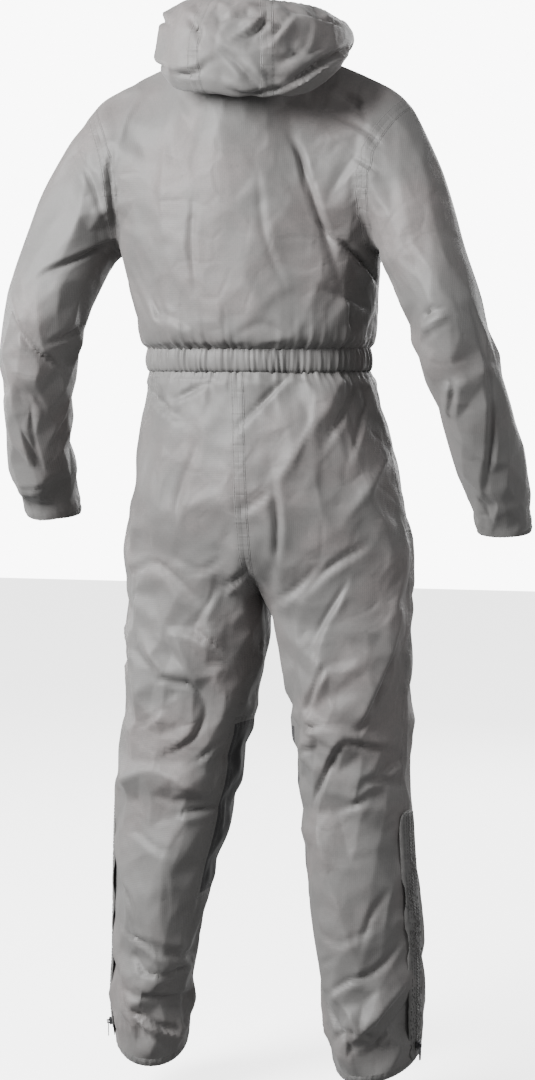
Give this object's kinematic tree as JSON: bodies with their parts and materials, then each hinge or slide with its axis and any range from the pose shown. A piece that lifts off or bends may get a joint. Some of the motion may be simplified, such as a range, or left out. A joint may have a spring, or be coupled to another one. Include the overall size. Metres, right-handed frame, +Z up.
{
  "type": "rain suit",
  "caption": "Hooded one-piece rain suit in thin cloth, filled out as when worn: hood thrown back, gathered waistband, elastic cuffs and hems, zips down the front and up the legs.",
  "frame": {"origin": "middle of the neck opening, level with the top of the shoulders, where the wearer holds the suit up", "axes": "+Z up, the wearer faces -Y, +X is the wearer's left"},
  "size_m": [0.7814, 0.3183, 1.5313],
  "materials": {
    "shell_cloth": "thin satin nylon, medium grey",
    "panel_cloth": "matt dark grey cloth",
    "binding_cloth": "grey elastic binding",
    "zip_tape": "grey coated zip tape",
    "zip_metal": "dark grey satin"
  },
  "bodies": {
    "suit": {"jacket_back": "shell_cloth", "jacket_front_left": "shell_cloth", "jacket_front_right": "shell_cloth", "sleeve_left": "shell_cloth", "sleeve_right": "shell_cloth", "waistband": "shell_cloth", "trouser_back_left": "shell_cloth", "trouser_back_right": "shell_cloth", "trouser_front_left": "shell_cloth", "trouser_front_right": "shell_cloth", "hood_centre": "shell_cloth", "hood_left": "shell_cloth", "hood_right": "shell_cloth", "calf_panel_left": "panel_cloth", "calf_panel_right": "panel_cloth", "cuff_binding_left": "binding_cloth", "cuff_binding_right": "binding_cloth", "hem_binding_left": "binding_cloth", "hem_binding_right": "binding_cloth", "hood_binding": "binding_cloth", "front_zip": "zip_tape", "leg_zip_left": "zip_tape", "leg_zip_right": "zip_tape", "front_slider": "zip_metal", "leg_slider_left": "zip_metal", "leg_slider_right": "zip_metal"},
    "front_pull": {"front_pull": "zip_metal"},
    "leg_pull_left": {"leg_pull_left": "zip_metal"},
    "leg_pull_right": {"leg_pull_right": "zip_metal"}
  },
  "joints": [
    {"name": "front_pull_swing", "type": "hinge", "parent": "suit", "child": "front_pull", "pos_m": [-0.01338, -0.11979, 0.01349], "axis": [-1, 0, 0], "range_deg": [0, 150]},
    {"name": "leg_pull_left_swing", "type": "hinge", "parent": "suit", "child": "leg_pull_left", "pos_m": [0.22116, -0.00279, -1.41498], "axis": [0.2843, -0.9587, 0], "range_deg": [0, 150]},
    {"name": "leg_pull_right_swing", "type": "hinge", "parent": "suit", "child": "leg_pull_right", "pos_m": [-0.25353, -0.00125, -1.41483], "axis": [0.2879, 0.9577, 0], "range_deg": [0, 150]}
  ]
}
